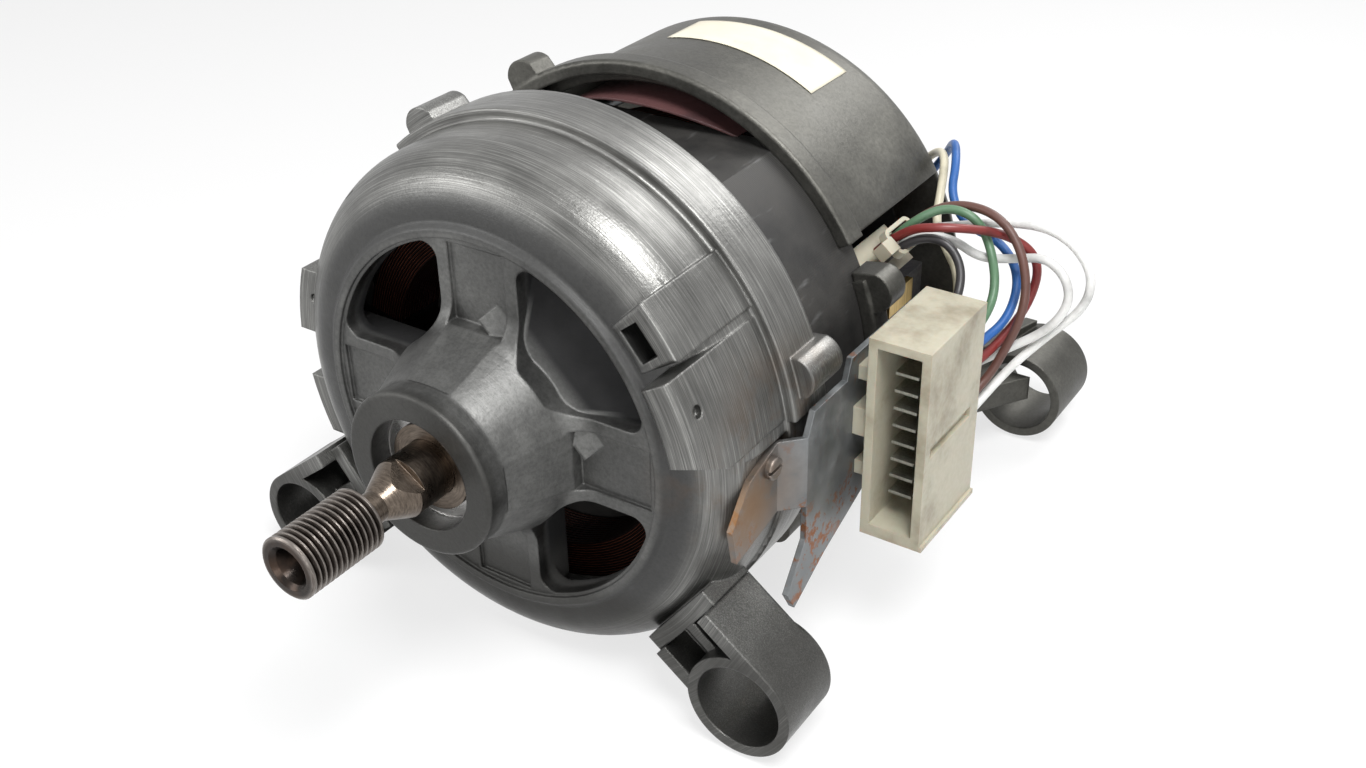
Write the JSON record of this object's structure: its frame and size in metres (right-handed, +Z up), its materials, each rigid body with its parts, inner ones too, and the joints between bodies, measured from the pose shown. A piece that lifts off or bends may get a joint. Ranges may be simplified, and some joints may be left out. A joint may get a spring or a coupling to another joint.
{
  "type": "washing machine motor",
  "caption": "Motor for a front-loading washing machine: die-cast end brackets with mounting lugs, ribbed belt pulley, wound stator and armature, brushes, tachometer and plug connector.",
  "frame": {"origin": "middle of the belt pulley, on the shaft axis", "axes": "-Y out of the pulley end of the shaft, +Z up with the mounting lugs below, +X towards the plug connector"},
  "size_m": [0.2021, 0.2632, 0.145],
  "materials": {
    "cast_aluminium": "die cast, turned on the rims",
    "shaft_steel": "ground, slightly tarnished",
    "bearing_steel": "ground",
    "lamination": "stacked sheet, dark",
    "copper_winding": "enamelled wire",
    "insulation": "brown sheet",
    "moulding": "dark moulding",
    "carbon": "pressed carbon",
    "brass": "pressed strip",
    "spring_steel": "drawn wire",
    "magnet": "sintered",
    "zinc_steel": "zinc plated",
    "nylon": "natural nylon",
    "terminal": "tinned",
    "lead_dark": "cable sheath",
    "lead_green": "cable sheath",
    "lead_brown": "cable sheath",
    "lead_red": "cable sheath",
    "lead_white_upper": "cable sheath",
    "lead_white_lower": "cable sheath",
    "lead_blue": "cable sheath",
    "lead_cream": "cable sheath"
  },
  "bodies": {
    "housing": {"drive_end_bracket": "cast_aluminium", "commutator_end_bracket": "cast_aluminium", "front_lug_right": "cast_aluminium", "front_lug_left": "cast_aluminium", "rear_lug_right": "cast_aluminium", "rear_lug_left": "cast_aluminium", "front_bearing_outer_race": "bearing_steel", "front_bearing_shields": "bearing_steel", "rear_bearing_outer_race": "bearing_steel", "rear_bearing_shields": "bearing_steel", "bearing_washer": "bearing_steel", "stator_stack": "lamination", "upper_field_coil": "copper_winding", "lower_field_coil": "copper_winding", "tacho_coil": "copper_winding", "upper_coil_insulation": "insulation", "lower_coil_insulation": "insulation", "brush_holder_right": "moulding", "brush_holder_left": "moulding", "tacho_cap": "moulding", "brush_guide_right": "brass", "brush_guide_left": "brass", "brush_cap_right": "brass", "brush_cap_left": "brass", "brush_spring_right": "spring_steel", "brush_spring_left": "spring_steel", "tie_screws": "zinc_steel", "connector_bracket": "zinc_steel", "bracket_screw": "zinc_steel", "connector_housing": "nylon", "coil_terminal_block": "nylon", "cable_tie": "nylon", "connector_terminals": "terminal", "lead_dark": "lead_dark", "lead_green": "lead_green", "lead_brown": "lead_brown", "lead_red": "lead_red", "lead_white_upper": "lead_white_upper", "lead_white_lower": "lead_white_lower", "lead_blue": "lead_blue", "lead_cream": "lead_cream"},
    "rotor": {"armature_shaft": "shaft_steel", "armature_core": "lamination", "armature_winding": "copper_winding", "commutator_hub": "moulding", "commutator_bars": "copper_winding", "front_bearing_inner_race": "bearing_steel", "rear_bearing_inner_race": "bearing_steel", "tacho_magnet": "magnet", "shaft_collar_ring": "shaft_steel"},
    "front_ball_set": {"front_bearing_balls": "bearing_steel", "front_bearing_cage": "bearing_steel"},
    "rear_ball_set": {"rear_bearing_balls": "bearing_steel", "rear_bearing_cage": "bearing_steel"},
    "brush_right": {"carbon_brush_right": "carbon"},
    "brush_left": {"carbon_brush_left": "carbon"}
  },
  "joints": [
    {"name": "rotor_spin", "type": "hinge", "parent": "housing", "child": "rotor", "pos_m": [0, 0, 0], "axis": [0, 1, 0], "continuous": true},
    {"name": "front_cage_spin", "type": "hinge", "parent": "housing", "child": "front_ball_set", "pos_m": [0, 0.0425, 0], "axis": [0, 1, 0], "continuous": true},
    {"name": "rear_cage_spin", "type": "hinge", "parent": "housing", "child": "rear_ball_set", "pos_m": [0, 0.197, 0], "axis": [0, 1, 0], "continuous": true},
    {"name": "brush_right_slide", "type": "slide", "parent": "housing", "child": "brush_right", "axis": [1, 0, 0], "range_m": [0, 0.004], "stiffness_N_per_m": 200, "springref_m": -0.015, "deforming": ["brush_spring_right"]},
    {"name": "brush_left_slide", "type": "slide", "parent": "housing", "child": "brush_left", "axis": [-1, 0, 0], "range_m": [0, 0.004], "stiffness_N_per_m": 200, "springref_m": -0.015, "deforming": ["brush_spring_left"]}
  ],
  "couplings": [
    {"joint": "front_cage_spin", "follows": "rotor_spin", "ratio": 0.396},
    {"joint": "rear_cage_spin", "follows": "rotor_spin", "ratio": 0.3818}
  ]
}
